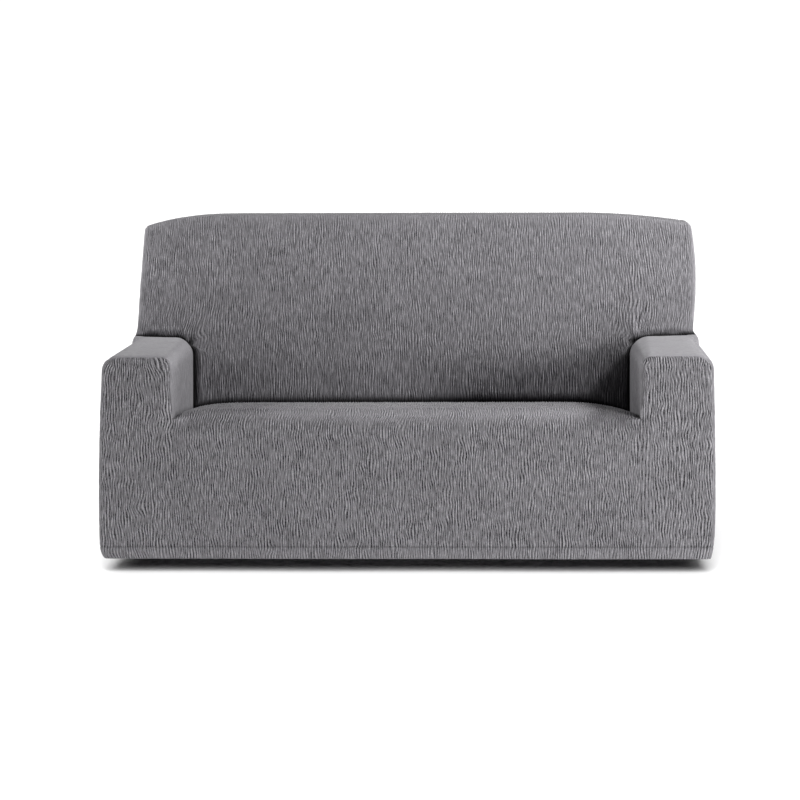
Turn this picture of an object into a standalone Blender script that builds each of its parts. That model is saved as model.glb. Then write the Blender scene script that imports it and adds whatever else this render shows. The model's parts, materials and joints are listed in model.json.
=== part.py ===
"""Fitted stretch slipcover for a two-seat sofa with square arms, as nine sewn panels of cloth.

Metres. x runs to the right as seen from the front, y runs from front to rear and z runs up.
The cover is hollow and open at its hem. Its form is first laid out as plain boxes, in the box
coordinates u (across), v (front to rear) and w (up from the hem). A grid of lines through the
boxes gives the faces, and form() bends the boxes to the real, soft shape. The cloth is then
given its thickness inwards, and it is parted at the seams. The origin is where the cover hangs:
on the underside of the cloth, in the middle of the back's top.
"""

import bpy
import numpy as np

# Plain boxes of the cover: half widths, depths from the front, heights from the hem
ARM_OUT = 0.838
ARM_IN = 0.648
ARM_TOP = 0.566
SEAT_TOP = 0.405
BACK_TOP = 0.9205
BACK_FRONT = 0.600
BACK_REAR = 0.860

# The cloth, its hem and the gap between two sewn edges
CLOTH = 0.0025
HEM_HEIGHT = 0.034
HEM_CLOTH = 0.004
SEAM_GAP = 0.0003

# Cloth pushed in between the seat, the arms and the back
TUCK_GAP = 0.004
TUCK_DEPTH = 0.035
TUCK_START = 0.030
TUCK_END = 0.025

# Soft edges, as radii
SEAT_EDGE_DEPTH = 0.085
SEAT_EDGE_DROP = 0.060
CREVICE_SHARE = 0.45
ARM_FRONT_EDGE = 0.015
ARM_INNER_EDGE = 0.020
ARM_INNER_EDGE_REAR = 0.046
BACK_SIDE_EDGE = 0.024
BACK_TOP_EDGE = 0.026
GUSSET_SEAM = 0.040

# How far stretched cloth stands out between its seams, and the waves of its hem
BACK_BULGE = 0.012
REAR_BULGE = 0.006
FRONT_BULGE = 0.006
HEM_WAVE = 0.0015

# Slope of the seat: its rise at the front and its fall to the rear. Sink of the arms' tops
SEAT_RISE = 0.005
SEAT_FALL = 0.040
ARM_TOP_SINK = 0.004

# Folds in the back at the right arm: their depth, and where they are deepest
FAN_DEPTH = 0.0028
FAN_REACH = 0.065

# Lean of the back: its front at the seat, its slope, and its rear at the hem and at the top
LEAN_START = 0.563
LEAN_SLOPE = 0.210
REAR_AT_HEM = 0.856
REAR_AT_TOP = 0.836

# What differs between the two ends, as stretched cloth does
#   edge        radius of the arm's outer top edge
#   hem         outer side at the hem, from ARM_OUT outwards
#   rise, reach how far the side swells above the hem, and over what height
#   fall        how it draws in again towards the arm's top, with the square of the height
#   arm_front, arm_rear   arm's inner side at the front and at the rear, from ARM_IN outwards
#   dip_front, dip_rear   how far the seat drops beside the arm
#   dip_from    half width where that drop begins
#   back_foot, back_slope, back_curve   outer side of the back above the arm
#   corner_drop, corner_power   how the back's top falls to its corner
SIDES = {
    "left": {
        "edge": 0.022, "hem": 0.006, "rise": 0.0130, "reach": 0.014, "fall": 0.058,
        "arm_front": -0.002, "arm_rear": 0.011, "dip_front": 0.014, "dip_rear": 0.017,
        "dip_from": 0.470, "back_foot": -0.007, "back_slope": -0.040, "back_curve": -0.040,
        "corner_drop": 0.034, "corner_power": 2.5,
    },
    "right": {
        "edge": 0.031, "hem": -0.001, "rise": 0.0115, "reach": 0.038, "fall": 0.028,
        "arm_front": -0.006, "arm_rear": -0.010, "dip_front": 0.014, "dip_rear": 0.031,
        "dip_from": 0.410, "back_foot": -0.015, "back_slope": 0.150, "back_curve": -0.430,
        "corner_drop": 0.026, "corner_power": 1.8,
    },
}

# Grid lines of one half, from the middle outwards
ACROSS = (
    0.0, 0.160, 0.320, 0.450, 0.550, 0.610, ARM_IN - TUCK_GAP, ARM_IN, ARM_IN + 0.012,
    ARM_IN + TUCK_DEPTH, 0.715, 0.750, 0.785, ARM_OUT - TUCK_END, 0.828, ARM_OUT,
)
# Grid lines from the front to the rear
DEPTHS = (
    0.0, 0.009, TUCK_START, 0.055, SEAT_EDGE_DEPTH, 0.210, 0.370, 0.510, BACK_FRONT - TUCK_GAP,
    BACK_FRONT, 0.612, BACK_FRONT + GUSSET_SEAM, 0.820, 0.848, BACK_REAR,
)
# Grid lines from the hem up
HEIGHTS = (
    0.0, HEM_HEIGHT, HEM_HEIGHT + 0.006, 0.110, 0.230, 0.320, SEAT_TOP - TUCK_DEPTH, 0.388,
    SEAT_TOP, 0.450, 0.500, ARM_TOP - TUCK_DEPTH, 0.552, ARM_TOP, 0.585, 0.615, 0.650, 0.700,
    0.780, 0.850, 0.890, 0.911, BACK_TOP,
)

PANEL_COLOURS = {
    "inside_back": (0.245, 0.240, 0.250),
    "outside_back": (0.225, 0.220, 0.230),
    "back_side": (0.235, 0.230, 0.240),
    "seat_front": (0.255, 0.250, 0.260),
    "arm_sleeve": (0.300, 0.295, 0.305),
    "arm_front": (0.250, 0.245, 0.255),
}


def ease(value):
    """A soft step from 0 to 1."""
    t = np.clip(value, 0.0, 1.0)
    return t * t * (3.0 - 2.0 * t)


def fade(distance, reach):
    """1 at a distance of 0, falling softly to 0 at the reach."""
    return 1.0 - ease(np.abs(distance) / reach)


def per_side(name, u):
    """A value of the table of sides, for each point."""
    return np.where(u < 0.0, SIDES["left"][name], SIDES["right"][name])


def rounded(gaps, radii):
    """Inward shifts that round the edges between faces, from the distances to those faces."""
    nearness = [np.clip(1.0 - gap / radius, 0.0, 1.0) for gap, radius in zip(gaps, radii)]
    length = np.maximum(1.0, np.sqrt(sum(near * near for near in nearness)))
    return [radius * near * (1.0 - 1.0 / length) for near, radius in zip(nearness, radii)]


def round_arm_outside(u, v, w):
    """Front, top and outer edges of an arm, fading out where the arm meets the back."""
    across = np.abs(u)
    on_arm = 1.0 * ((across > 0.5 * (ARM_IN + ARM_OUT)) & (v <= BACK_FRONT))
    radius = np.maximum(per_side("edge", u) * ease((BACK_FRONT - v) / 0.07), 1e-5)
    out, back, down = rounded(
        (ARM_OUT - across, v, ARM_TOP - w), (radius, ARM_FRONT_EDGE, radius)
    )
    return -on_arm * np.sign(u) * out, on_arm * back, -on_arm * down


def round_arm_inside(u, v, w):
    """Front, top and inner edges of an arm. The last one grows towards the back."""
    across = np.abs(u)
    on_arm = 1.0 * (across <= 0.5 * (ARM_IN + ARM_OUT))
    growth = np.clip(v / BACK_FRONT, 0.0, 1.0)
    radius = ARM_INNER_EDGE + (ARM_INNER_EDGE_REAR - ARM_INNER_EDGE) * growth
    above_seat = ease((w - SEAT_TOP + 0.01) / 0.05)
    behind = fade(np.maximum(v - BACK_FRONT, 0.0), 0.05)
    front_gap = np.where(v <= BACK_FRONT, v, 1.0)
    side_gap = np.abs(across - ARM_IN)
    side_gap = side_gap + (1.0 - above_seat) * radius
    out, back, down = rounded(
        (side_gap, front_gap, np.abs(ARM_TOP - w)), (radius, ARM_FRONT_EDGE, radius)
    )
    front_back = np.where(across < ARM_IN, 0.0, back)
    return on_arm * behind * np.sign(u) * out, on_arm * front_back, -on_arm * behind * down


def round_seat(u, v, w):
    """The soft front edge of the seat, which ends as a dimple in the arm's front."""
    across = np.abs(u)
    on_seat = CREVICE_SHARE + (1.0 - CREVICE_SHARE) * ease((ARM_IN - across) / 0.05)
    on_arm = CREVICE_SHARE * fade(across - ARM_IN, 0.045)
    share = np.where(across < ARM_IN, on_seat, on_arm) * (v <= BACK_FRONT)
    back, down = rounded((v, np.abs(SEAT_TOP - w)), (SEAT_EDGE_DEPTH, SEAT_EDGE_DROP))
    return share * back, -share * down


def round_back(u, v, w):
    """Side, top, front and rear edges of the back."""
    on_back = 1.0 * (v >= BACK_FRONT)
    above_arm = ease((w - ARM_TOP) / 0.07)
    is_front = v < 0.5 * (BACK_FRONT + BACK_REAR)
    gap = np.where(is_front, v - BACK_FRONT, BACK_REAR - v)
    gap = np.where(is_front, gap + (1.0 - above_arm) * BACK_SIDE_EDGE, gap)
    out, along, down = rounded(
        (ARM_OUT - np.abs(u), gap, BACK_TOP - w), (BACK_SIDE_EDGE, BACK_SIDE_EDGE, BACK_TOP_EDGE)
    )
    along = np.where(is_front, along, -along)
    return -on_back * np.sign(u) * out, on_back * along, -on_back * down


def side_swell(u, w):
    """How far the outer side stands out from ARM_OUT, at each height."""
    arm = (
        per_side("hem", u)
        + per_side("rise", u) * (1.0 - np.exp(-w / per_side("reach", u)))
        - per_side("fall", u) * w * w
    )
    over = np.maximum(w - ARM_TOP, 0.0)
    back = (
        per_side("back_foot", u) + per_side("back_slope", u) * over
        + per_side("back_curve", u) * over * over
    )
    share = ease((w - ARM_TOP + 0.012) / 0.03)
    return arm + (back - arm) * share


def seat_shift(u, v):
    """Slope of the seat towards the back, and its drop beside the arms."""
    slope = SEAT_RISE - SEAT_FALL * np.clip((v - SEAT_EDGE_DEPTH) / (BACK_FRONT - SEAT_EDGE_DEPTH), 0.0, 1.0)
    start = per_side("dip_from", u)
    share = np.clip((np.abs(u) - start) / (ARM_IN - start), 0.0, 1.0)
    along = np.clip(v / BACK_FRONT, 0.0, 1.0)
    dip = per_side("dip_front", u) + (per_side("dip_rear", u) - per_side("dip_front", u)) * along
    return slope - dip * share**3


def fan(u, w):
    """Folds that the pull of the right arm draws in the back, from the arm's inner corner."""
    run, rise = u - (ARM_IN + 0.012), w - (ARM_TOP + 0.004)
    length = np.hypot(run, rise)
    turn = np.arctan2(rise, run)
    wave = np.cos(11.0 * turn + 0.6)
    reach = np.exp(-(((length - FAN_REACH) / 0.045) ** 2))
    return FAN_DEPTH * wave * reach * (rise > 0.0) * (run > -0.02)


def form(u, v, w):
    """Bend points of the plain boxes to the real shape of the cover."""
    across = np.abs(u)
    side = np.sign(u)
    outward = np.clip((across - ARM_IN) / (ARM_OUT - ARM_IN), 0.0, 1.0)
    along = np.clip(v / BACK_FRONT, 0.0, 1.0)

    x, y, z = u.copy(), v.copy(), w.copy()
    for shift in (round_arm_outside(u, v, w), round_arm_inside(u, v, w), round_back(u, v, w)):
        x, y, z = x + shift[0], y + shift[1], z + shift[2]
    seat_back, seat_down = round_seat(u, v, w)
    y, z = y + seat_back, z + seat_down

    # sides of the arms and of the back
    inner = per_side("arm_front", u) + (per_side("arm_rear", u) - per_side("arm_front", u)) * along
    inner = inner * fade(np.maximum(w - ARM_TOP, 0.0), 0.12)
    inner = inner * np.where(across < ARM_IN, fade(ARM_IN - across, 0.25), 1.0)
    x = x + side * (side_swell(u, w) * outward + inner * (1.0 - outward))

    # seat, with a share of its shift below, beside and above it
    near_seat = np.where(w < SEAT_TOP, (w / SEAT_TOP) ** 3, fade(w - SEAT_TOP, 0.10))
    near_seat = near_seat * fade(np.maximum(across - ARM_IN, 0.0), 0.07)
    near_seat = near_seat * fade(np.maximum(v - BACK_FRONT, 0.0), 0.12)
    z = z + near_seat * seat_shift(u, v)

    # arm tops sink a little towards the seat and the rear
    near_top = fade(w - ARM_TOP, 0.08) * fade(np.minimum(across - ARM_IN, 0.0), 0.10)
    near_top = near_top * (1.0 - outward) * along * fade(np.maximum(v - BACK_FRONT, 0.0), 0.05)
    z = z - ARM_TOP_SINK * near_top

    # crown of the back, falling to its corners
    height = np.clip((w - ARM_TOP) / (BACK_TOP - ARM_TOP), 0.0, 1.0)
    corner = np.clip((across - 0.50) / (ARM_OUT - 0.50), 0.0, 1.0)
    fall = per_side("corner_drop", u) * corner ** per_side("corner_power", u)
    z = z - (fall + 0.003 * u) * height**1.5

    # lean of the back, shared out over the depth
    front = LEAN_START + LEAN_SLOPE * np.maximum(w - (SEAT_TOP - TUCK_DEPTH), 0.0)
    rear = REAR_AT_HEM + (REAR_AT_TOP - REAR_AT_HEM) * w / BACK_TOP
    lean_before = y * front / BACK_FRONT
    share = (y - BACK_FRONT) / (BACK_REAR - BACK_FRONT)
    y = np.where(y <= BACK_FRONT, lean_before, front + (rear - front) * share)

    # stretched cloth stands out a little between its seams
    middle = np.cos(0.5 * np.pi * np.clip(across / ARM_OUT, 0.0, 1.0))
    up_back = np.sin(np.pi * np.clip((w - SEAT_TOP) / (BACK_TOP - SEAT_TOP), 0.0, 1.0))
    y = y - BACK_BULGE * fade(v - BACK_FRONT, 0.12) * middle * up_back
    y = y - fade(v - BACK_FRONT, 0.02) * fan(u, w)
    up_rear = np.sin(np.pi * np.clip(w / BACK_TOP, 0.0, 1.0))
    y = y + REAR_BULGE * fade(BACK_REAR - v, 0.1) * middle * up_rear
    up_front = np.sin(np.pi * np.clip(w / (ARM_TOP + 0.02 * side), 0.0, 1.0))
    y = y - FRONT_BULGE * fade(v, 0.10) * up_front

    # the hem runs slightly unevenly
    y = y + HEM_WAVE * fade(v, 0.2) * np.sin(9.0 * u + 0.7) * np.exp(-w / 0.06)
    return np.stack([x, y, z], axis=-1)


def filled(u, v, w):
    """True in the cells that the cover encloses, tucks left out."""
    across = np.abs(u)
    back = v > BACK_FRONT
    arm = (across > ARM_IN) & (w < ARM_TOP)
    seat = (across < ARM_IN) & (w < SEAT_TOP)
    behind = (v > BACK_FRONT - TUCK_GAP) & (v < BACK_FRONT)
    seat_tuck = behind & seat & (w > SEAT_TOP - TUCK_DEPTH)
    side_tuck = seat & (across > ARM_IN - TUCK_GAP) & (w > SEAT_TOP - TUCK_DEPTH) & (v > TUCK_START)
    side_tuck = side_tuck & (v < BACK_FRONT)
    inner_tuck = (across < ARM_IN + TUCK_DEPTH) & (w > SEAT_TOP - TUCK_DEPTH)
    top_tuck = (across < ARM_OUT - TUCK_END) & (w > ARM_TOP - TUCK_DEPTH)
    arm_tuck = behind & arm & (inner_tuck | top_tuck)
    return (back | arm | seat) & ~seat_tuck & ~side_tuck & ~arm_tuck


def panel_of(u, v, w, axis, step):
    """Name of the panel that a face belongs to, from its middle and the way it looks."""
    side = "left" if u < 0.0 else "right"
    across = abs(u)
    if axis == 0 and across > ARM_OUT - 1e-6:
        if w < ARM_TOP:
            return "arm_sleeve_" + side
        return "inside_back" if v < BACK_FRONT + GUSSET_SEAM else "back_side_" + side
    if axis == 1 and v > BACK_REAR - 1e-6:
        return "outside_back"
    if axis == 1 and v < 1e-6:
        return "seat_front" if across < ARM_IN else "arm_front_" + side
    if axis == 1 and step < 0:
        return "inside_back"
    if axis == 2 and w > BACK_TOP - 1e-6:
        return "inside_back"
    if axis == 0 and abs(across - ARM_IN) < 1e-6:
        return "arm_sleeve_" + side
    return "seat_front" if across < ARM_IN else "arm_sleeve_" + side


def grid_faces(lines):
    """Corners and panel names of the faces round the filled cells, hem side left open."""
    middles = [0.5 * (line[1:] + line[:-1]) for line in lines]
    full = np.pad(filled(*np.meshgrid(*middles, indexing="ij")), 1)
    quads, panels = [], []
    for axis in range(3):
        for step in (-1, 1):
            for cell in np.argwhere(full & ~np.roll(full, -step, axis)) - 1:
                if axis == 2 and step < 0 and cell[2] == 0:
                    continue
                quads.append(face_corners(cell, axis, step))
                centre = [middles[i][cell[i]] for i in range(3)]
                centre[axis] = lines[axis][cell[axis] + (step > 0)]
                panels.append(panel_of(*centre, axis, step))
    return np.array(quads), np.array(panels)


def face_corners(cell, axis, step):
    """Grid indices of a cell's face, in the order that makes it look outwards."""
    corners = []
    for second, third in ((0, 0), (1, 0), (1, 1), (0, 1)):
        corner = list(cell)
        corner[axis] += step > 0
        corner[(axis + 1) % 3] += second
        corner[(axis + 2) % 3] += third
        corners.append(corner)
    return corners if step > 0 else corners[::-1]


def meet(directions, owners, count, distance):
    """For each owner, the shift that moves it by the distance along all its directions."""
    squares = np.zeros((count, 3, 3))
    sums = np.zeros((count, 3))
    np.add.at(squares, owners, directions[:, :, None] * directions[:, None, :])
    np.add.at(sums, owners, directions)
    squares += 1e-4 * np.eye(3)
    return np.linalg.solve(squares, (sums * distance[:, None])[:, :, None])[:, :, 0]


def unit(vectors):
    return vectors / np.linalg.norm(vectors, axis=-1, keepdims=True)


def inner_side(points, quads, thickness):
    """The cloth's inner face: every face moves inwards by the thickness and they meet again."""
    normals = unit(np.cross(points[quads[:, 2]] - points[quads[:, 0]],
                            points[quads[:, 3]] - points[quads[:, 1]]))
    owners = quads.ravel()
    return points - meet(np.repeat(normals, 4, axis=0), owners, len(points), thickness)


def border_edges(quads):
    """Edges used by one face only, in that face's direction."""
    starts = quads.ravel()
    ends = np.roll(quads, -1, axis=1).ravel()
    used = set(zip(starts.tolist(), ends.tolist()))
    return [(a, b) for a, b in zip(starts.tolist(), ends.tolist()) if (b, a) not in used]


def parted(points, inner, quads, on_hem):
    """Shift of each point of a panel that draws its sewn edges back by half the seam gap."""
    directions, owners = [], []
    for a, b in border_edges(quads):
        if on_hem[a] and on_hem[b]:
            continue
        for corner in (a, b):
            directions.append(np.cross(points[corner] - inner[corner], points[b] - points[a]))
            owners.append(corner)
    half = np.full(len(points), 0.5 * SEAM_GAP)
    return meet(unit(np.array(directions)), np.array(owners), len(points), half)


def wall(a, b, inner_from, rising):
    """The sheet's edge between two border points, split the same way on both sides of a seam."""
    inner_a, inner_b = a + inner_from, b + inner_from
    if rising:
        return [[b, a, inner_b], [a, inner_a, inner_b]]
    return [[b, a, inner_a], [b, inner_a, inner_b]]


def add_panel(name, points, inner, quads, on_hem, colour, holder):
    """One panel as a closed sheet: outer side, inner side and the edges between them."""
    shift = parted(points, inner, quads, on_hem)
    used = np.unique(quads)
    place = {int(old): new for new, old in enumerate(used)}
    outer_points = (points + shift)[used]
    inner_points = (inner + shift)[used]
    count = len(used)
    faces = [[place[int(i)] + count for i in quad[::-1]] for quad in quads[::-1]]
    faces += [[place[int(i)] for i in quad] for quad in quads]
    for a, b in border_edges(quads):
        faces += wall(place[a], place[b], count, a < b)

    mesh = bpy.data.meshes.new(name)
    mesh.from_pydata(np.concatenate([outer_points, inner_points]).tolist(), [], faces)
    mesh.materials.append(cloth(name, colour))
    mesh.shade_smooth()
    mesh.set_sharp_from_angle(angle=0.7)
    panel = bpy.data.objects.new(name, mesh)
    bpy.context.scene.collection.objects.link(panel)
    panel.parent = holder
    return panel


def cloth(name, colour):
    material = bpy.data.materials.new(name + "_cloth")
    material.use_nodes = True
    shader = material.node_tree.nodes["Principled BSDF"]
    shader.inputs["Base Color"].default_value = (*colour, 1.0)
    shader.inputs["Roughness"].default_value = 0.92
    shader.inputs["Metallic"].default_value = 0.0
    return material


def build_cover():
    for old in list(bpy.data.objects):
        bpy.data.objects.remove(old)

    half = np.array(ACROSS)
    lines = (np.concatenate([-half[:0:-1], half]), np.array(DEPTHS), np.array(HEIGHTS))
    corners, panels = grid_faces(lines)
    keys, quads = np.unique(corners.reshape(-1, 3), axis=0, return_inverse=True)
    quads = quads.reshape(-1, 4)
    u, v, w = (lines[axis][keys[:, axis]] for axis in range(3))

    points = form(u, v, w)
    thickness = np.where(w <= HEM_HEIGHT, HEM_CLOTH, CLOTH)
    inner = inner_side(points, quads, thickness)
    on_hem = w == 0.0
    inner[on_hem, 2] = points[on_hem, 2]

    top = form(np.array([0.0]), np.array([0.5 * (BACK_FRONT + BACK_REAR)]), np.array([BACK_TOP]))[0]
    holder = bpy.data.objects.new("back_top_holder", None)
    bpy.context.scene.collection.objects.link(holder)
    holder.location = (0.0, -top[1], CLOTH - top[2])

    for name in sorted(set(panels)):
        kind = name.replace("_left", "").replace("_right", "")
        add_panel(name, points, inner, quads[panels == name], on_hem, PANEL_COLOURS[kind], holder)


build_cover()
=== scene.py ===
"""Fitted stretch slipcover, two seats wide with square arms, in grey crinkled knit.

Metres, in the part's own frame. Every panel is a closed sheet of cloth. Its outer side carries the
crinkles as real relief, and its inner side is plainer. Places on the cover are given as u, across
from the middle, v, back from the front, and w, up from the hem, before the cloth is bent to its
soft form.
"""

import json
import math

import bpy
import numpy as np
from mathutils import Matrix, Vector, kdtree

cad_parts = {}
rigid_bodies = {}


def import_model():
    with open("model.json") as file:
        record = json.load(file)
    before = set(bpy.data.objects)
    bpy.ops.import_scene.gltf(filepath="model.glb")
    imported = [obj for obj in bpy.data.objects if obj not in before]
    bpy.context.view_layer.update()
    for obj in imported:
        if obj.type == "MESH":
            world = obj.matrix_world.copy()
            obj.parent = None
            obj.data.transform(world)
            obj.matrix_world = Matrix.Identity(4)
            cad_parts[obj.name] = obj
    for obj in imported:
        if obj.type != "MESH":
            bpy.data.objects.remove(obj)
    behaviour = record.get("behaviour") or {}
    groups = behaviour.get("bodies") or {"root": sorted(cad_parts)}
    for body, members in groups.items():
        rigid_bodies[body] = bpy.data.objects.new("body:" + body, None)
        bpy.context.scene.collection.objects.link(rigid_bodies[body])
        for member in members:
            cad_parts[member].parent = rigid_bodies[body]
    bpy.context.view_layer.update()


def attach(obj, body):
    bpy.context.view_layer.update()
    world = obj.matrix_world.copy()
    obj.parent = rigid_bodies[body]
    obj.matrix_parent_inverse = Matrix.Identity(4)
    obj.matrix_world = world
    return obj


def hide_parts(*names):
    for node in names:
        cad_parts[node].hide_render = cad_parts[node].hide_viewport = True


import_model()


# ------------------------------------------------------------------------------
# Inside back: the largest panel, cut from a crinkled stretch knit. It runs up from the tuck behind
# the seat, over the top of the back and a hand's width round its sides. All other panels are sewn
# to it, so the form that they share comes first.
# ------------------------------------------------------------------------------

# Places closer together than this count as one
NEAR = 1e-6

# Half widths, depths from the front, heights from the hem
ARM_OUT = 0.838
ARM_IN = 0.648
ARM_TOP = 0.566
SEAT_TOP = 0.405
BACK_TOP = 0.9205
BACK_FRONT = 0.600
BACK_REAR = 0.860

# The cloth, its hem and its sewn edges
CLOTH = 0.0025
HEM_HEIGHT = 0.034
HEM_CLOTH = 0.004
SEAM_GAP = 0.0003
SEAM_DIP = 0.0005
SEAM_REACH = 0.006

# Cloth pushed in between the seat, the arms and the back
TUCK_GAP = 0.004
TUCK_DEPTH = 0.035
TUCK_START = 0.030
TUCK_END = 0.025

# Soft edges, as radii
SEAT_EDGE_DEPTH = 0.085
SEAT_EDGE_DROP = 0.060
CREVICE_SHARE = 0.45
ARM_FRONT_EDGE = 0.017
ARM_INNER_EDGE = 0.028
ARM_INNER_EDGE_REAR = 0.056
BACK_SIDE_EDGE = 0.012
BACK_TOP_EDGE = 0.013
GUSSET_SEAM = 0.040

# How far stretched cloth stands out between its seams, and the waves of its hem
BACK_BULGE = 0.012
REAR_BULGE = 0.006
FRONT_BULGE = 0.006
HEM_WAVE = 0.0015

# Slope of the seat, sink of the arms' tops, folds in the back at the right arm
SEAT_RISE = 0.005
SEAT_FALL = 0.040
ARM_TOP_SINK = 0.004
FAN_DEPTH = 0.0010
FAN_REACH = 0.065

# Lean of the back
LEAN_START = 0.563
LEAN_SLOPE = 0.210
REAR_AT_HEM = 0.856
REAR_AT_TOP = 0.836

# What differs between the two ends, with the same names as in the part's source
SIDES = {
    "left": {
        "edge": 0.042, "hem": 0.006, "rise": 0.0130, "reach": 0.014, "fall": 0.058,
        "arm_front": -0.002, "arm_rear": 0.011, "dip_front": 0.014, "dip_rear": 0.017,
        "dip_from": 0.470, "back_foot": -0.007, "back_slope": -0.040, "back_curve": -0.040,
        "corner_drop": 0.034, "corner_power": 2.5,
    },
    "right": {
        "edge": 0.042, "hem": -0.001, "rise": 0.0115, "reach": 0.038, "fall": 0.028,
        "arm_front": -0.006, "arm_rear": -0.010, "dip_front": 0.014, "dip_rear": 0.031,
        "dip_from": 0.410, "back_foot": -0.015, "back_slope": 0.150, "back_curve": -0.430,
        "corner_drop": 0.026, "corner_power": 1.8,
    },
}


def ease(value):
    """A soft step from 0 to 1."""
    t = np.clip(value, 0.0, 1.0)
    return t * t * (3.0 - 2.0 * t)


def fade(distance, reach):
    """1 at a distance of 0, falling softly to 0 at the reach."""
    return 1.0 - ease(np.abs(distance) / reach)


def per_side(name, u):
    """A value of the table of sides, for each point."""
    return np.where(u < 0.0, SIDES["left"][name], SIDES["right"][name])


def rounded(gaps, radii):
    """Inward shifts that round the edges between faces, from the distances to those faces."""
    nearness = [np.clip(1.0 - gap / radius, 0.0, 1.0) for gap, radius in zip(gaps, radii)]
    length = np.maximum(1.0, np.sqrt(sum(near * near for near in nearness)))
    return [radius * near * (1.0 - 1.0 / length) for near, radius in zip(nearness, radii)]


def arm_edges(gap_side, gap_down, gap_front, radius):
    """Inward shifts that round an arm's long edge, and then the edge of its front."""
    side = np.clip(1.0 - gap_side / radius, 0.0, 1.0)
    down = np.clip(1.0 - gap_down / radius, 0.0, 1.0)
    length = np.maximum(np.hypot(side, down), 1e-9)
    turned = radius * (1.0 - np.maximum(side, down) / length)
    near = np.clip(1.0 - np.minimum(gap_side, gap_down) / ARM_FRONT_EDGE, 0.0, 1.0)
    back = np.clip(1.0 - gap_front / ARM_FRONT_EDGE, 0.0, 1.0)
    share = ARM_FRONT_EDGE * (1.0 - 1.0 / np.maximum(1.0, np.hypot(near, back)))
    return (side * turned + side / length * near * share,
            down * turned + down / length * near * share, back * share)


def round_arm_outside(u, v, w):
    """Front, top and outer edges of an arm, fading out where the arm meets the back."""
    across = np.abs(u)
    on_arm = 1.0 * ((across > 0.5 * (ARM_IN + ARM_OUT)) & (v <= BACK_FRONT))
    radius = np.maximum(per_side("edge", u) * ease((BACK_FRONT - v) / 0.07), 1e-5)
    out, down, back = arm_edges(ARM_OUT - across, ARM_TOP - w, v, radius)
    return -on_arm * np.sign(u) * out, on_arm * back, -on_arm * down


def round_arm_inside(u, v, w):
    """Front, top and inner edges of an arm. The last one grows towards the back."""
    across = np.abs(u)
    on_arm = 1.0 * (across <= 0.5 * (ARM_IN + ARM_OUT))
    growth = np.clip(v / BACK_FRONT, 0.0, 1.0)
    radius = ARM_INNER_EDGE + (ARM_INNER_EDGE_REAR - ARM_INNER_EDGE) * growth
    above_seat = ease((w - SEAT_TOP + 0.01) / 0.05)
    behind = fade(np.maximum(v - BACK_FRONT, 0.0), 0.05)
    gap_front = np.where(v <= BACK_FRONT, v, 1.0)
    gap_side = np.abs(across - ARM_IN) + (1.0 - above_seat) * radius
    out, down, back = arm_edges(gap_side, np.abs(ARM_TOP - w), gap_front, radius)
    front_back = np.where(across < ARM_IN, 0.0, back)
    return on_arm * behind * np.sign(u) * out, on_arm * front_back, -on_arm * behind * down


def round_seat(u, v, w):
    """The soft front edge of the seat, which ends as a dimple in the arm's front."""
    across = np.abs(u)
    on_seat = CREVICE_SHARE + (1.0 - CREVICE_SHARE) * ease((ARM_IN - across) / 0.05)
    on_arm = CREVICE_SHARE * fade(across - ARM_IN, 0.045)
    share = np.where(across < ARM_IN, on_seat, on_arm) * (v <= BACK_FRONT)
    back, down = rounded((v, np.abs(SEAT_TOP - w)), (SEAT_EDGE_DEPTH, SEAT_EDGE_DROP))
    return share * back, -share * down


def round_back(u, v, w):
    """Side, top, front and rear edges of the back."""
    on_back = 1.0 * (v >= BACK_FRONT)
    above_arm = ease((w - ARM_TOP) / 0.07)
    is_front = v < 0.5 * (BACK_FRONT + BACK_REAR)
    gap = np.where(is_front, v - BACK_FRONT, BACK_REAR - v)
    gap = np.where(is_front, gap + (1.0 - above_arm) * BACK_SIDE_EDGE, gap)
    out, along, down = rounded(
        (ARM_OUT - np.abs(u), gap, BACK_TOP - w), (BACK_SIDE_EDGE, BACK_SIDE_EDGE, BACK_TOP_EDGE)
    )
    along = np.where(is_front, along, -along)
    return -on_back * np.sign(u) * out, on_back * along, -on_back * down


def side_swell(u, w):
    """How far the outer side stands out from ARM_OUT, at each height."""
    arm = (
        per_side("hem", u)
        + per_side("rise", u) * (1.0 - np.exp(-w / per_side("reach", u)))
        - per_side("fall", u) * w * w
    )
    over = np.maximum(w - ARM_TOP, 0.0)
    back = (
        per_side("back_foot", u) + per_side("back_slope", u) * over
        + per_side("back_curve", u) * over * over
    )
    share = ease((w - ARM_TOP + 0.012) / 0.03)
    return arm + (back - arm) * share


def seat_shift(u, v):
    """Slope of the seat towards the back, and its drop beside the arms."""
    back_share = np.clip((v - SEAT_EDGE_DEPTH) / (BACK_FRONT - SEAT_EDGE_DEPTH), 0.0, 1.0)
    start = per_side("dip_from", u)
    share = np.clip((np.abs(u) - start) / (ARM_IN - start), 0.0, 1.0)
    along = np.clip(v / BACK_FRONT, 0.0, 1.0)
    dip = per_side("dip_front", u) + (per_side("dip_rear", u) - per_side("dip_front", u)) * along
    return SEAT_RISE - SEAT_FALL * back_share - dip * share**3


def fan(u, w):
    """Folds that the pull of the right arm draws in the back, from the arm's inner corner."""
    run, rise = u - (ARM_IN + 0.012), w - (ARM_TOP + 0.004)
    length = np.hypot(run, rise)
    wave = np.cos(11.0 * np.arctan2(rise, run) + 0.6)
    reach = np.exp(-(((length - FAN_REACH) / 0.045) ** 2))
    return FAN_DEPTH * wave * reach * ease(rise / 0.015) * ease((run + 0.03) / 0.03)


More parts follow.
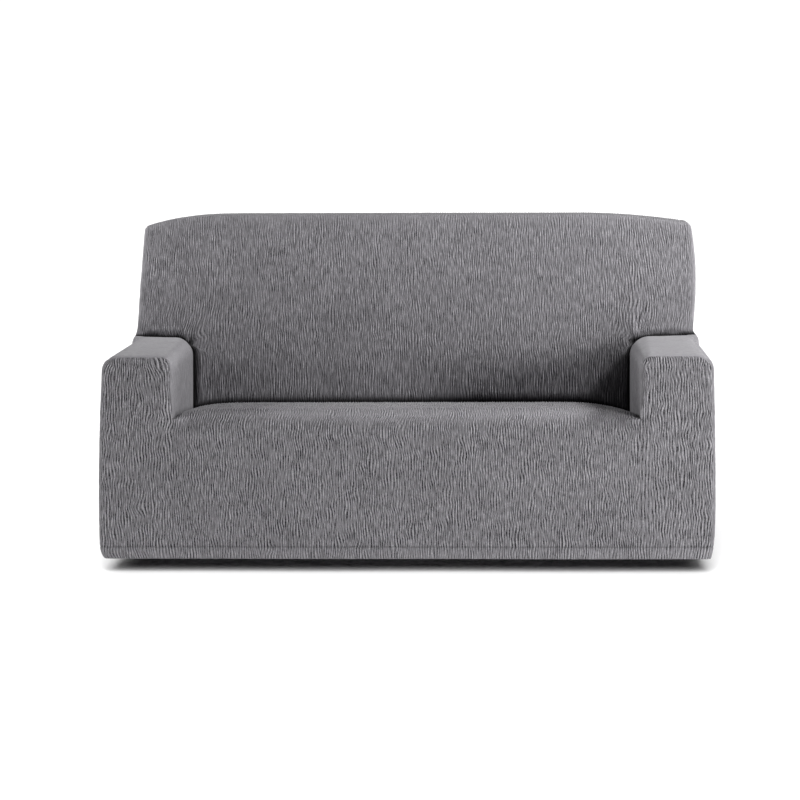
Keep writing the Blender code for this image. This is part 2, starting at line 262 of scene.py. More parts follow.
def form(u, v, w):
    """Bend points of the plain boxes to the real shape of the cover, measured from its hem."""
    across = np.abs(u)
    side = np.sign(u)
    outward = np.clip((across - ARM_IN) / (ARM_OUT - ARM_IN), 0.0, 1.0)
    along = np.clip(v / BACK_FRONT, 0.0, 1.0)

    # edges
    x, y, z = u.copy(), v.copy(), w.copy()
    for shift in (round_arm_outside(u, v, w), round_arm_inside(u, v, w), round_back(u, v, w)):
        x, y, z = x + shift[0], y + shift[1], z + shift[2]
    seat_back, seat_down = round_seat(u, v, w)
    y, z = y + seat_back, z + seat_down

    # swell of the outer sides, and lean of the arms' inner sides
    inner = per_side("arm_front", u) + (per_side("arm_rear", u) - per_side("arm_front", u)) * along
    inner = inner * fade(np.maximum(w - ARM_TOP, 0.0), 0.12)
    inner = inner * np.where(across < ARM_IN, fade(ARM_IN - across, 0.25), 1.0)
    x = x + side * (side_swell(u, w) * outward + inner * (1.0 - outward))

    # slope of the seat, sink of the arms' tops and drop of the back's corners
    near_seat = np.where(w < SEAT_TOP, (w / SEAT_TOP) ** 3, fade(w - SEAT_TOP, 0.10))
    near_seat = near_seat * fade(np.maximum(across - ARM_IN, 0.0), 0.07)
    near_seat = near_seat * fade(np.maximum(v - BACK_FRONT, 0.0), 0.12)
    z = z + near_seat * seat_shift(u, v)
    near_top = fade(w - ARM_TOP, 0.08) * fade(np.minimum(across - ARM_IN, 0.0), 0.10)
    near_top = near_top * (1.0 - outward) * along * fade(np.maximum(v - BACK_FRONT, 0.0), 0.05)
    z = z - ARM_TOP_SINK * near_top
    height = np.clip((w - ARM_TOP) / (BACK_TOP - ARM_TOP), 0.0, 1.0)
    corner = np.clip((across - 0.50) / (ARM_OUT - 0.50), 0.0, 1.0)
    fall = per_side("corner_drop", u) * corner ** per_side("corner_power", u)
    z = z - (fall + 0.003 * u) * height**1.5

    # lean of the back
    front = LEAN_START + LEAN_SLOPE * np.maximum(w - (SEAT_TOP - TUCK_DEPTH), 0.0)
    rear = REAR_AT_HEM + (REAR_AT_TOP - REAR_AT_HEM) * w / BACK_TOP
    share = (y - BACK_FRONT) / (BACK_REAR - BACK_FRONT)
    y = np.where(y <= BACK_FRONT, y * front / BACK_FRONT, front + (rear - front) * share)

    # stretched cloth that stands out between its seams, and the wave of the hem
    middle = np.cos(0.5 * np.pi * np.clip(across / ARM_OUT, 0.0, 1.0))
    up_back = np.sin(np.pi * np.clip((w - SEAT_TOP) / (BACK_TOP - SEAT_TOP), 0.0, 1.0))
    y = y - BACK_BULGE * fade(v - BACK_FRONT, 0.12) * middle * up_back
    y = y - fade(v - BACK_FRONT, 0.02) * fan(u, w)
    up_rear = np.sin(np.pi * np.clip(w / BACK_TOP, 0.0, 1.0))
    y = y + REAR_BULGE * fade(BACK_REAR - v, 0.1) * middle * up_rear
    up_front = np.sin(np.pi * np.clip(w / (ARM_TOP + 0.02 * side), 0.0, 1.0))
    y = y - FRONT_BULGE * fade(v, 0.10) * up_front
    y = y + HEM_WAVE * fade(v, 0.2) * np.sin(9.0 * u + 0.7) * np.exp(-w / 0.06)
    return np.stack([x, y, z], axis=-1)


# The cover hangs from the underside of its cloth, in the middle of the back's top
back_middle = form(
    np.array([0.0]), np.array([0.5 * (BACK_FRONT + BACK_REAR)]), np.array([BACK_TOP])
)[0]
HANG = np.array([0.0, -back_middle[1], CLOTH - back_middle[2]])


def filled(u, v, w):
    """True in the cells that the cover encloses, tucks left out."""
    across = np.abs(u)
    back = v > BACK_FRONT
    arm = (across > ARM_IN) & (w < ARM_TOP)
    seat = (across < ARM_IN) & (w < SEAT_TOP)
    behind = (v > BACK_FRONT - TUCK_GAP) & (v < BACK_FRONT)
    seat_tuck = behind & seat & (w > SEAT_TOP - TUCK_DEPTH)
    side_tuck = seat & (across > ARM_IN - TUCK_GAP) & (w > SEAT_TOP - TUCK_DEPTH)
    side_tuck = side_tuck & (v > TUCK_START) & (v < BACK_FRONT)
    inner_tuck = (across < ARM_IN + TUCK_DEPTH) & (w > SEAT_TOP - TUCK_DEPTH)
    top_tuck = (across < ARM_OUT - TUCK_END) & (w > ARM_TOP - TUCK_DEPTH)
    arm_tuck = behind & arm & (inner_tuck | top_tuck)
    return (back | arm | seat) & ~seat_tuck & ~side_tuck & ~arm_tuck


def panels_at(u, v, w, axis, step):
    """Names of the panels that faces belong to, from their middles and the way they look."""
    across = np.abs(u)
    sleeve = np.where(u < 0.0, "arm_sleeve_left", "arm_sleeve_right")
    rest = np.where(across < ARM_IN, "seat_front", sleeve)
    if axis == 0:
        gusset = np.where(u < 0.0, "back_side_left", "back_side_right")
        behind = np.where(v < BACK_FRONT + GUSSET_SEAM, "inside_back", gusset)
        outer = np.where(w < ARM_TOP, sleeve, behind)
        inner = np.where(np.abs(across - ARM_IN) < NEAR, sleeve, rest)
        return np.where(across > ARM_OUT - NEAR, outer, inner)
    if axis == 1:
        arm = np.where(u < 0.0, "arm_front_left", "arm_front_right")
        front = np.where(across < ARM_IN, "seat_front", arm)
        inward = "inside_back" if step < 0 else rest
        return np.where(v > BACK_REAR - NEAR, "outside_back", np.where(v < NEAR, front, inward))
    return np.where(w > BACK_TOP - NEAR, "inside_back", rest)


# Where the grid lines of a panel must fall, and the widest step that its bends allow after each
ACROSS_STOPS = (
    (0.0, 0.1), (0.610, 0.006), (ARM_IN - TUCK_GAP, 0.004), (ARM_IN, 0.005), (0.672, 0.006),
    (ARM_IN + TUCK_DEPTH, 0.006), (0.704, 0.02), (0.804, 0.005), (ARM_OUT - TUCK_END, 0.005),
    (ARM_OUT, 0.0),
)
DEPTH_STOPS = (
    (0.0, 0.004), (0.018, 0.006), (TUCK_START, 0.010), (SEAT_EDGE_DEPTH, 0.03),
    (BACK_FRONT - TUCK_GAP, 0.004), (BACK_FRONT, 0.006), (0.630, 0.01),
    (BACK_FRONT + GUSSET_SEAM, 0.03), (0.830, 0.006), (BACK_REAR, 0.0),
)
HEIGHT_STOPS = (
    (0.0, 0.012), (HEM_HEIGHT - 0.005, 0.002), (HEM_HEIGHT + 0.003, 0.006), (0.046, 0.03),
    (0.340, 0.008), (SEAT_TOP - TUCK_DEPTH, 0.007), (SEAT_TOP, 0.003), (0.420, 0.015),
    (0.511, 0.008), (ARM_TOP - TUCK_DEPTH, 0.004), (ARM_TOP, 0.003), (0.578, 0.006),
    (0.602, 0.03), (0.885, 0.006), (BACK_TOP, 0.0),
)


def grid_lines(stops, fine, coarse, mirror=""):
    """Fine and coarse grid lines through all stops. Every coarse line is also a fine one."""
    few, many = [0.0], [0.0]
    for (start, widest), (end, _) in zip(stops[:-1], stops[1:]):
        parts = math.ceil((end - start) / min(coarse, widest) - 1e-9)
        cuts = math.ceil((end - start) / parts / min(fine, widest) - 1e-9)
        few += np.linspace(start, end, parts * cuts + 1)[cuts::cuts].tolist()
        many += np.linspace(start, end, parts * cuts + 1)[1:].tolist()
    halves = {"": (1.0,), "left": (-1.0,), "right": (1.0,), "both": (-1.0, 1.0)}[mirror]
    return [np.unique([half * value for half in halves for value in line]) for line in (many, few)]


def faces_of(panel, lines):
    """Grid indices of the corners of a panel's faces, in the order that makes them look out."""
    middles = [0.5 * (line[1:] + line[:-1]) for line in lines]
    full = np.pad(filled(*np.meshgrid(*middles, indexing="ij", sparse=True)), 1)
    quads = []
    for axis in range(3):
        for step in (-1, 1):
            cells = np.argwhere(full & ~np.roll(full, -step, axis)) - 1
            # the cover is open underneath
            if axis == 2 and step < 0:
                cells = cells[cells[:, 2] > 0]
            centre = [middles[i][cells[:, i]] for i in range(3)]
            centre[axis] = lines[axis][cells[:, axis] + (step > 0)]
            cells = cells[panels_at(*centre, axis, step) == panel]
            cells[:, axis] += step > 0
            corners = []
            for second, third in ((0, 0), (1, 0), (1, 1), (0, 1)):
                corner = cells.copy()
                corner[:, (axis + 1) % 3] += second
                corner[:, (axis + 2) % 3] += third
                corners.append(corner)
            quads.append(np.stack(corners if step > 0 else corners[::-1], axis=1))
    return np.concatenate(quads)


def numbered(corners, lines):
    """Points and quads of a grid, from the indices of the corners of its faces."""
    keys, quads = np.unique(corners.reshape(-1, 3), axis=0, return_inverse=True)
    return [lines[i][keys[:, i]] for i in range(3)], quads.reshape(-1, 4)


def unit(vectors):
    """The same directions, at a length of 1."""
    return vectors / np.maximum(np.linalg.norm(vectors, axis=-1, keepdims=True), 1e-12)


def gathered(values, owners, count):
    """Sum of the values of each owner."""
    return np.stack([np.bincount(owners, values[:, i], count) for i in range(3)], axis=-1)


def point_normals(points, quads):
    """The way out from the cloth, at each point."""
    faces = unit(np.cross(points[quads[:, 2]] - points[quads[:, 0]],
                          points[quads[:, 3]] - points[quads[:, 1]]))
    return unit(gathered(np.repeat(faces, 4, axis=0), quads.ravel(), len(points)))


def border_edges(quads):
    """Edges used by one face only, in that face's direction."""
    starts, ends = quads.ravel(), np.roll(quads, -1, axis=1).ravel()
    size = quads.max() + 1
    alone = ~np.isin(starts * size + ends, ends * size + starts)
    return starts[alone], ends[alone]


# The crinkle of the knit: distance between ridges, how much it varies, how far a ridge runs on
RIDGE_PITCH = 0.0068
RIDGE_SPREAD = 0.13
RIDGE_RUN = 0.080
RIDGE_WANDER = 0.0017
RIDGE_HEIGHT = 0.0010
PATCH_SIZE = 0.042
NOISE_REACH = 2.56
NOISE_CELL_S = 0.0010
NOISE_CELL_T = 0.0025


def noise_field(dice, band):
    """Random noise on a grid over the cloth, of which only the waves of the band stay."""
    across = np.fft.rfftfreq(round(NOISE_REACH / NOISE_CELL_S), NOISE_CELL_S)
    along = np.fft.fftfreq(round(NOISE_REACH / NOISE_CELL_T), NOISE_CELL_T)[:, None]
    shape = (len(along), 2 * (len(across) - 1))
    waves = np.fft.rfft2(dice.standard_normal(shape)) * band(across, along)
    field = np.fft.irfft2(waves, shape)
    return field / field.std()


def ridge_band(across, along):
    """Waves near the pitch of the ridges across them, and slow ones along them."""
    near_pitch = np.exp(-0.5 * ((across * RIDGE_PITCH - 1.0) / RIDGE_SPREAD) ** 2)
    return near_pitch * np.exp(-0.5 * (along * RIDGE_RUN) ** 2)


def patch_band(across, along):
    """Slow waves only, each way."""
    return np.exp(-(across**2 + along**2) * PATCH_SIZE**2)


def looked_up(field, s, t):
    """Values of a field of noise at places on the cloth. The field repeats past its edges."""
    column, row = s / NOISE_CELL_S, t / NOISE_CELL_T
    left, low = np.floor(column).astype(int), np.floor(row).astype(int)
    rows, columns = field.shape
    values = 0.0
    for high, row_share in ((0, 1.0 - row + low), (1, row - low)):
        for right, column_share in ((0, 1.0 - column + left), (1, column - left)):
            corner = field[(low + high) % rows, (left + right) % columns]
            values = values + row_share * column_share * corner
    return values


def crinkle(s, t, seed):
    """Height of the crinkle, about -1 to 1. Its ridges run along t, wander, fork and end."""
    dice = np.random.default_rng(seed)
    ridges, wander, strength = (
        noise_field(dice, band) for band in (ridge_band, patch_band, patch_band)
    )
    wandered = s + RIDGE_WANDER * looked_up(wander, s, t)
    height = np.tanh(2.0 * looked_up(ridges, wandered, t))
    return height * np.clip(1.0 + 0.15 * looked_up(strength, s, t), 0.5, 1.3)


def creased(a, b, table):
    """Sum of placed creases, each from (a0, b0) to (a1, b1) and shallower towards its ends."""
    height = np.zeros(len(a))
    for a0, b0, a1, b1, width, depth in table:
        run, rise = a1 - a0, b1 - b0
        share = np.clip(((a - a0) * run + (b - b0) * rise) / (run * run + rise * rise), 0.0, 1.0)
        apart = np.hypot(a - a0 - share * run, b - b0 - share * rise)
        height -= depth * np.exp(-((apart / width) ** 2)) * np.sin(math.pi * (0.12 + 0.76 * share))
    return height


def walls(inner_edges, follow, to_fine, inner_from):
    """Triangles that close a sheet's edge, between its fine outer and its coarse inner border."""
    faces = []
    for a, b in zip(*inner_edges):
        chain = [to_fine[a]]
        while chain[-1] != to_fine[b]:
            chain.append(follow[chain[-1]])
        half = len(chain) // 2
        inner_a, inner_b = int(a) + inner_from, int(b) + inner_from
        for i, (start, end) in enumerate(zip(chain[:-1], chain[1:])):
            faces.append((end, start, inner_a if i < half else inner_b))
        faces.append((chain[half], inner_a, inner_b))
    return faces


# Height of the stitching that holds the hem, how deep it pulls the cloth in, how much shade is
# painted into its groove, and how much the doubled cloth below it is stretched open
HEM_STITCH = HEM_HEIGHT - 0.001
HEM_GROOVE = 0.0012
HEM_SHADE = 0.30
HEM_OPEN = 0.15


def placed(name, data):
    """An object in the scene, at the origin."""
    thing = bpy.data.objects.new(name, data)
    bpy.context.scene.collection.objects.link(thing)
    return thing


def make_panel(name, panel, steps, cloth_run, relief, material, mirror="both"):
    """One panel as a closed sheet, in the part's frame.

    steps are the fine and coarse steps across, in depth and in height, and mirror tells at which
    end of the cover the panel lies. cloth_run gives the places on the cloth, s across the ridges
    and t along them. relief gives the ridges, from -1 to 1, the height of the folds, how much paler
    the cloth is where it is stretched open and where light from above is painted on, and how much
    painted shade it takes in its tucks and shadows, both from 0 to 1.
    """
    sides = [mirror, "", ""]
    stops = (ACROSS_STOPS, DEPTH_STOPS, HEIGHT_STOPS)
    both = [grid_lines(stop, *step, side) for stop, step, side in zip(stops, steps, sides)]
    fine, coarse = [lines[0] for lines in both], [lines[1] for lines in both]

    # outer side, and how far each of its points is from a sewn edge that shows
    (u, v, w), quads = numbered(faces_of(panel, fine), fine)
    points = form(u, v, w)
    normals = point_normals(points, quads)
    starts, ends = border_edges(quads)
    on_hem = (w[starts] == 0.0) & (w[ends] == 0.0)
    unseen = (np.abs(np.abs(u[starts]) - ARM_IN) < NEAR) & (v[starts] < NEAR)
    seam = kdtree.KDTree(int(np.sum(~on_hem & ~unseen)))
    for index in starts[~on_hem & ~unseen]:
        seam.insert(points[index], int(index))
    seam.balance()
    apart = np.array([seam.find(point)[2] for point in points])

    # its crinkles, folds and stitched groove with its painted shade, and half the gap of each seam
    s, t = cloth_run(u, v, w)
    ridge, folds, stretch_and_painted_light, painted_shade = relief(u, v, w, s, t)
    stretch_and_painted_light = np.maximum(stretch_and_painted_light, HEM_OPEN * ease((HEM_STITCH - w) / 0.004))
    painted_shade = np.maximum(painted_shade, HEM_SHADE * np.exp(-(((w - HEM_STITCH - 0.001) / 0.0025) ** 2)))
    sewn = ease(apart / SEAM_REACH)
    ridge = ridge * (0.25 + 0.75 * sewn)
    stitched = HEM_GROOVE * np.exp(-(((w - HEM_STITCH) / 0.0022) ** 2))
    height = RIDGE_HEIGHT * ridge + folds - SEAM_DIP * (1.0 - sewn) - stitched
    points = points + normals * height[:, None]
    inwards = np.cross(normals[starts], points[ends] - points[starts])
    inwards = unit(gathered(inwards[~on_hem], starts[~on_hem], len(points))
                   + gathered(inwards[~on_hem], ends[~on_hem], len(points)))
    points = points + 0.5 * SEAM_GAP * inwards

    # inner side, which goes along with the folds, and the cloth's edge between the two
    (inner_u, inner_v, inner_w), inner_quads = numbered(faces_of(panel, coarse), coarse)
    inner = form(inner_u, inner_v, inner_w)
    thickness = np.where(inner_w <= HEM_HEIGHT, HEM_CLOTH, CLOTH)
    hem_line = inner[:, 2].copy()
    inner_s, inner_t = cloth_run(inner_u, inner_v, inner_w)
    inner_folds = relief(inner_u, inner_v, inner_w, inner_s, inner_t)[1]
    inner = inner + point_normals(inner, inner_quads) * (inner_folds - thickness)[:, None]
    inner[inner_w == 0.0, 2] = hem_line[inner_w == 0.0]
    places = {place: index for index, place in enumerate(zip(u, v, w))}
    to_fine = [places[place] for place in zip(inner_u, inner_v, inner_w)]
    follow = dict(zip(starts.tolist(), ends.tolist()))
    edge = walls(border_edges(inner_quads), follow, to_fine, len(points))

    mesh = bpy.data.meshes.new(name)
    faces = quads.tolist() + (inner_quads[:, ::-1] + len(points)).tolist() + edge
    mesh.from_pydata(np.concatenate([points, inner]) + HANG, [], faces)
    mesh.shade_smooth()
    mesh.set_sharp_from_angle(angle=1.0)
    for title, values in (("ridge", ridge), ("stretch_and_painted_light", stretch_and_painted_light), ("painted_shade", painted_shade)):
        attribute = mesh.attributes.new(title, "FLOAT", "POINT")
        attribute.data.foreach_set("value", np.concatenate([values, np.zeros(len(inner))]))
    run = np.stack([np.concatenate([s, inner_s]), np.concatenate([t, inner_t])], axis=-1)
    corner_points = np.empty(len(mesh.loops), np.int32)
    mesh.loops.foreach_get("vertex_index", corner_points)
    mesh.uv_layers.new(name="cloth").data.foreach_set("uv", run[corner_points].ravel())
    mesh.materials.append(material)
    return placed(name, mesh)


# The knit's finer texture: how many small ridges, grains, flecks and loops to the metre, how far
# the small ridges stand out, wander and run on, and how much they and the grain change the tone
SMALL_RIDGES = 260.0
SMALL_SHARE = 0.4
SMALL_HEIGHT = 0.0005
SMALL_WANDER = 0.003
SMALL_BENDS = 26.0
SMALL_RUN = 0.14
GRAIN = 220.0
GRAIN_SHARE = 0.7
FLECKS = 640.0
LOOPS = 700.0
PATCHES = 7.0


def knit_material(name, groove, ridge, opened_and_lit):
    """Crinkled knit: painted shade in its grooves, paler on its ridges, palest where it is stretched
    open and where light from above is painted on.
    """
    material = bpy.data.materials.new(name)
    material.use_nodes = True
    nodes, links = material.node_tree.nodes, material.node_tree.links
    shader = nodes["Principled BSDF"]

    def add(kind, settings=None, **inputs):
        node = nodes.new(kind)
        for key, value in (settings or {}).items():
            setattr(node, key, value)
        for key, value in inputs.items():
            node.inputs[key.replace("_", " ")].default_value = value
        return node

    def noise(vector, scale, detail):
        texture = add("ShaderNodeTexNoise", {"noise_dimensions": "2D"}, Scale=scale, Detail=detail)
        links.new(vector, texture.inputs["Vector"])
        return texture.outputs["Fac"]

    def spread(value, low, high, wide=0.2):
        """A noise value round 0.5, spread over low to high."""
        node = add("ShaderNodeMapRange", From_Min=0.5 - wide, From_Max=0.5 + wide, To_Min=low,
                   To_Max=high)
        links.new(value, node.inputs["Value"])
        return node.outputs["Result"]

    def maths(operation, *values):
        node = add("ShaderNodeMath", {"operation": operation})
        for socket, value in zip(node.inputs, values):
            if isinstance(value, (int, float)):
                socket.default_value = value
            else:
                links.new(value, socket)
        return node.outputs["Value"]

    place = add("ShaderNodeUVMap", {"uv_map": "cloth"}).outputs["UV"]
    wander = add("ShaderNodeVectorMath", {"operation": "MULTIPLY_ADD"})
    wander.inputs[1].default_value = (SMALL_WANDER, 0.0, 0.0)
    links.new(noise(place, SMALL_BENDS, 1.0), wander.inputs[0])
    links.new(place, wander.inputs[2])
    drawn_out = add("ShaderNodeMapping", Scale=(1.0, SMALL_RUN, 1.0))
    links.new(wander.outputs["Vector"], drawn_out.inputs["Vector"])
    along_ridges = drawn_out.outputs["Vector"]
    height = add("ShaderNodeAttribute", {"attribute_name": "ridge"}).outputs["Fac"]
    stretch_and_painted_light = add("ShaderNodeAttribute", {"attribute_name": "stretch_and_painted_light"}).outputs["Fac"]
    painted_shade = add("ShaderNodeAttribute", {"attribute_name": "painted_shade"}).outputs["Fac"]

    # small ridges between the large ones, smoothed out where the cloth is stretched and where light
    # from above is painted on
    small = spread(noise(along_ridges, SMALL_RIDGES, 0.0), -1.0, 1.0, 0.16)
    small = maths("MULTIPLY", small, maths("SUBTRACT", 1.0, maths("MULTIPLY", stretch_and_painted_light, 0.8)))
    level = maths("MULTIPLY_ADD", small, SMALL_SHARE, height)
    grain = spread(noise(place, GRAIN, 1.0), 1.0 - GRAIN_SHARE, 1.0 + GRAIN_SHARE)
    level = maths("MULTIPLY", level, grain)
    share = maths("MULTIPLY_ADD", level, 0.5 / (1.0 + SMALL_SHARE), 0.5)

    # dark in the grooves of the large and small ridges, which is painted shade, and paler on their
    # tops
    tone = add("ShaderNodeMix", {"data_type": "RGBA"})
    tone.inputs[6].default_value = (*groove, 1.0)
    tone.inputs[7].default_value = (*ridge, 1.0)
    links.new(share, tone.inputs["Factor"])
    # paler where the cloth is stretched open, and where light from above is painted on
    open_and_lit_tone = add("ShaderNodeMix", {"data_type": "RGBA"})
    open_and_lit_tone.inputs[7].default_value = (*opened_and_lit, 1.0)
    links.new(stretch_and_painted_light, open_and_lit_tone.inputs["Factor"])
    links.new(tone.outputs[2], open_and_lit_tone.inputs[6])

    # flecks of the mixed yarn, slow patches, and painted shade deep in the tucks, along the hem's
    # stitching and in the right arm's shadow on the back
    fleck = noise(along_ridges, FLECKS, 2.0)
    patches = spread(noise(place, PATCHES, 3.0), 0.95, 1.05)
    patches = maths("MULTIPLY", patches, maths("SUBTRACT", 1.0, maths("MULTIPLY", painted_shade, 0.95)))
    colour = add("ShaderNodeVectorMath", {"operation": "SCALE"})
    links.new(open_and_lit_tone.outputs[2], colour.inputs[0])
    links.new(maths("MULTIPLY", spread(fleck, 0.86, 1.14), patches), colour.inputs["Scale"])
    links.new(colour.outputs["Vector"], shader.inputs["Base Color"])

    # loops of the knit on top of the small ridges
    loops = add("ShaderNodeTexVoronoi", {"voronoi_dimensions": "2D"}, Scale=LOOPS)
    links.new(along_ridges, loops.inputs["Vector"])
    rough = maths("MULTIPLY_ADD", loops.outputs["Distance"], 0.25, small)
    bump = add("ShaderNodeBump", Strength=1.0, Distance=SMALL_HEIGHT)
    links.new(rough, bump.inputs["Height"])
    links.new(bump.outputs["Normal"], shader.inputs["Normal"])

    links.new(spread(fleck, 0.86, 0.98), shader.inputs["Roughness"])
    shader.inputs["Specular IOR Level"].default_value = 0.2
    shader.inputs["Sheen Weight"].default_value = 0.12
    shader.inputs["Sheen Roughness"].default_value = 0.5
    return material


# Tones of the back's knit: in the grooves, darkened with painted shade; on the ridges; and where it
# is stretched open and where light from above is painted on
BACK_GROOVE = (0.060, 0.057, 0.063)
BACK_RIDGE = (0.410, 0.400, 0.424)
BACK_OPEN_AND_LIT = (0.285, 0.278, 0.294)

# How high the back's crinkles are, as a share of the seat's, and how far they lean outwards over
# each arm, where the cloth is pulled
BACK_RIDGES = 0.75
PULL_RIGHT = 1.50
PULL_LEFT = 0.85

# Creases at the arms, in u and w: from, to, width, depth
BACK_CREASES = (
    (0.657, 0.576, 0.722, 0.648, 0.0036, 0.0036),
    (0.664, 0.574, 0.746, 0.624, 0.0036, 0.0032),
    (0.672, 0.572, 0.770, 0.610, 0.0036, 0.0020),
    (0.653, 0.580, 0.694, 0.660, 0.0036, 0.0024),
    (0.748, 0.592, 0.756, 0.570, 0.0050, 0.0030),
    (-0.668, 0.572, -0.712, 0.606, 0.0035, 0.0010),
    (-0.660, 0.582, -0.690, 0.628, 0.0035, 0.0008),
)

# How far the back rounds in towards its tuck, over what reach, and how far it stands out again
# over the arms
BACK_TUCK_IN = 0.008
BACK_TUCK_REACH = 0.022
BACK_LIP = 0.003


def back_run(u, v, w):
    """The ridges run up the back and over its top, and up again where the panel turns the side."""
    past = v - BACK_FRONT
    round_side = ease((np.abs(u) - ARM_OUT + 0.03) / 0.03)
    over_top = ease((w - BACK_TOP + 0.03) / 0.03)
    return u + np.sign(u) * past * round_side, w + past * over_top


def back_tuck(u, w):
    """Distance above or beside the line where the back goes in behind the seat and the arms."""
    across = np.abs(u)
    beside = np.hypot(ARM_IN - across, np.maximum(w - ARM_TOP, 0.0))
    within = np.minimum(w - SEAT_TOP, beside)
    return np.maximum(np.where(across < ARM_IN, within, w - ARM_TOP), 0.0)


def back_relief(u, v, w, s, t):
    """Ridges lean outwards over the arms, where the cloth is pulled."""
    over = np.maximum(w - ARM_TOP, 0.0)
    right = np.exp(-(((u - 0.725) / 0.078) ** 2)) * over * np.exp(-over / 0.070)
    left = np.exp(-(((u + 0.745) / 0.080) ** 2)) * over * np.exp(-over / 0.045)
    ridge = BACK_RIDGES * crinkle(s - PULL_RIGHT * right + PULL_LEFT * left, t, 3)
    from_tuck = back_tuck(u, w)
    lip = (np.abs(u) > ARM_IN) * np.exp(-(((from_tuck - 0.017) / 0.009) ** 2))
    folds = BACK_LIP * lip - BACK_TUCK_IN * fade(from_tuck, BACK_TUCK_REACH)
    in_front = (v < BACK_FRONT + 0.01) * fade(np.maximum(np.abs(u) - 0.79, 0.0), 0.035)
    folds = (folds + creased(u, w, BACK_CREASES)) * in_front
    # painted shade along the line where the back goes into its tucks, of uneven width over the arms,
    # and a painted shadow of the right arm on the back beside it
    uneven = 1.0 + 0.3 * np.sin(70.0 * u) + 0.2 * np.sin(31.0 * u + 1.0)
    dark_reach = np.where(np.abs(u) > ARM_IN, 0.010 * uneven, 0.016)
    painted_shade = fade(from_tuck, dark_reach) ** 0.6
    painted_arm_shadow = 0.65 * fade(np.hypot(ARM_IN - u, 0.6 * (w - SEAT_TOP)), 0.17) * (u < ARM_IN)
    painted_shade = np.maximum(painted_shade, painted_arm_shadow) * (v < BACK_FRONT + 0.01)
    # paler at the back's sides, where the cloth is stretched, and along its top edge, where it is
    # stretched and where light from above is painted on
    at_side = fade(ARM_OUT - np.abs(u), 0.03)
    opened_and_lit = np.maximum(0.5 * at_side, 0.40 * fade(BACK_TOP - w, 0.045))
    return ridge * (1.0 - 0.5 * at_side), folds, opened_and_lit, painted_shade


back_cloth = knit_material("grey_knit_back", BACK_GROOVE, BACK_RIDGE, BACK_OPEN_AND_LIT)
inside_back = make_panel(
    "inside_back_cloth", "inside_back", steps=((0.0023, 0.018), (0.016, 0.020), (0.0095, 0.018)),
    cloth_run=back_run, relief=back_relief, material=back_cloth,
)
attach(inside_back, "root")
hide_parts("inside_back")


# ------------------------------------------------------------------------------
# Outside back: a plain rectangle of the same knit. It is sewn to the inside back along the top,
# to the back's sides and to the arm sleeves, and hangs straight to the hem.
# ------------------------------------------------------------------------------


def rear_run(u, v, w):
    """The ridges run straight up."""
    return u, w


def rear_relief(u, v, w, s, t):
    plain = np.zeros(len(u))
    return BACK_RIDGES * crinkle(s, t, 7), plain, plain, plain


outside_back = make_panel(
    "outside_back_cloth", "outside_back", steps=((0.0028, 0.024), (0.1, 0.1), (0.0125, 0.024)),
    cloth_run=rear_run, relief=rear_relief, material=back_cloth,
)
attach(outside_back, "root")
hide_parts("outside_back")


# ------------------------------------------------------------------------------
# Back sides: a narrow upright gusset of the same knit at each end of the back. It is sewn between
# the inside and the outside back, and to the arm's sleeve below it.
# ------------------------------------------------------------------------------


def side_run(u, v, w):
    """The ridges run straight up here too."""
    return v, w


def side_relief(u, v, w, s, t):
    plain = np.zeros(len(u))
    return BACK_RIDGES * crinkle(s, t, 9), plain, plain + 0.2, plain


for end in ("left", "right"):
    gusset = make_panel(
        f"back_side_cloth_{end}", f"back_side_{end}",
        steps=((0.1, 0.1), (0.0024, 0.016), (0.0075, 0.016)),
        cloth_run=side_run, relief=side_relief, material=back_cloth, mirror=end,
    )
    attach(gusset, "root")
    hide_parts(f"back_side_{end}")


# ------------------------------------------------------------------------------
# Seat and front: one length of knit from the tuck at the back, over the seat and its soft front
# edge, down to the hem. Its ridges run from front to rear on the seat and upright on the front.
# ------------------------------------------------------------------------------

# Tones of the seat's knit, used for the arm fronts too: in the grooves, darkened with painted shade;
# on the ridges; and where it is stretched open and where light from above is painted on
SEAT_GROOVE = (0.018, 0.017, 0.020)
SEAT_RIDGE = (0.405, 0.395, 0.418)
SEAT_OPEN_AND_LIT = (0.375, 0.365, 0.388)
SEAT_LEAN = 0.30

# Creases from the two ends of the seat, in u and w: from, to, width, depth
FRONT_CREASES = (
    (-0.647, 0.405, -0.645, 0.255, 0.011, 0.0035),
    (0.645, 0.405, 0.641, 0.300, 0.009, 0.0025),
    (0.640, 0.395, 0.585, 0.330, 0.005, 0.0012),
    (0.632, 0.402, 0.560, 0.372, 0.005, 0.0010),
    (-0.640, 0.392, -0.600, 0.335, 0.005, 0.0010),
    (-0.634, 0.400, -0.565, 0.375, 0.005, 0.0008),
)

# How far the seat rounds down towards its tucks
SEAT_TUCK_IN = 0.005

# Upright ribs that the pull of the seat draws in the right arm's front, as half widths
RIBS_FROM = 0.640
RIBS_TO = 0.682
RIB_PITCH = 0.0090


def front_run(u, v, w):
    """The ridges run from the rear of the seat forwards, and down the front."""
    return u, w + v


